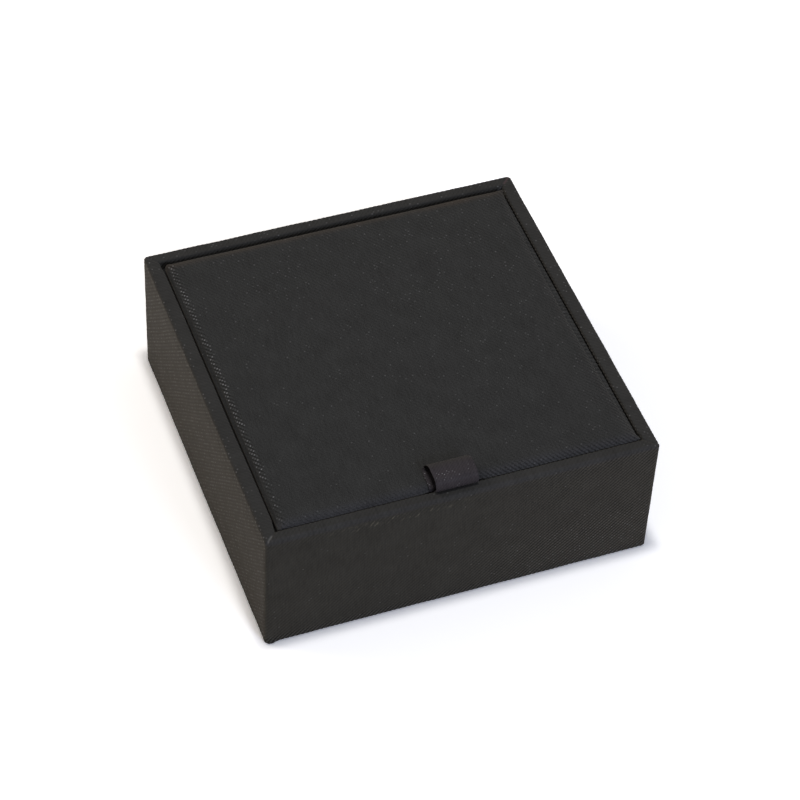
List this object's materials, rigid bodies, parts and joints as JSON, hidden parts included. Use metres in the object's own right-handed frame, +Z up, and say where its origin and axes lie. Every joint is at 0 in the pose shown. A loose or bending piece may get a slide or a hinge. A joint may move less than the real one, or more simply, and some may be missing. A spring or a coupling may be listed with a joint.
{
  "type": "jewellery box",
  "caption": "Square cloth-covered jewellery box with an inset padded lid on a cloth hinge, a ribbon pull and a velvet pad inside.",
  "frame": {"origin": "on the surface the box stands on, under the middle of the box", "axes": "+Z up, -Y towards the front, where the ribbon pull is, and +X to the right seen from the front"},
  "size_m": [0.09, 0.09, 0.0377],
  "materials": {
    "black_twill": "matte",
    "black_ribbon": "satin",
    "black_lining": "matte",
    "black_velvet": "matte",
    "black_satin": "satin",
    "black_paper": "matte",
    "grey_board": "matte",
    "grey_foam": "matte"
  },
  "bodies": {
    "box": {"base_board": "grey_board", "front_wall_board": "grey_board", "back_wall_board": "grey_board", "left_wall_board": "grey_board", "right_wall_board": "grey_board", "side_cloth": "black_twill", "base_sheet": "black_paper", "front_ledge_strip": "grey_board", "back_ledge_strip": "grey_board", "left_ledge_strip": "grey_board", "right_ledge_strip": "grey_board", "ledge_lining": "black_lining", "insert_card": "grey_board", "insert_foam": "grey_foam", "insert_velvet": "black_velvet", "hinge_cloth": "black_twill"},
    "lid": {"lid_board": "grey_board", "lid_padding": "grey_foam", "lid_cloth": "black_twill", "lid_liner_board": "grey_board", "lid_liner_wadding": "grey_foam", "lid_liner_satin": "black_satin", "pull_ribbon_root": "black_ribbon"},
    "pull_tab": {"pull_ribbon": "black_ribbon"}
  },
  "joints": [
    {"name": "lid_hinge", "type": "hinge", "parent": "box", "child": "lid", "pos_m": [0, 0.04125, 0.034], "axis": [-1, 0, 0], "range_deg": [0, 110], "deforming": ["hinge_cloth"]},
    {"name": "pull_tab_hinge", "type": "hinge", "parent": "lid", "child": "pull_tab", "pos_m": [-0.0015, -0.04295, 0.0345], "axis": [1, 0, 0], "range_deg": [0, 75]}
  ]
}
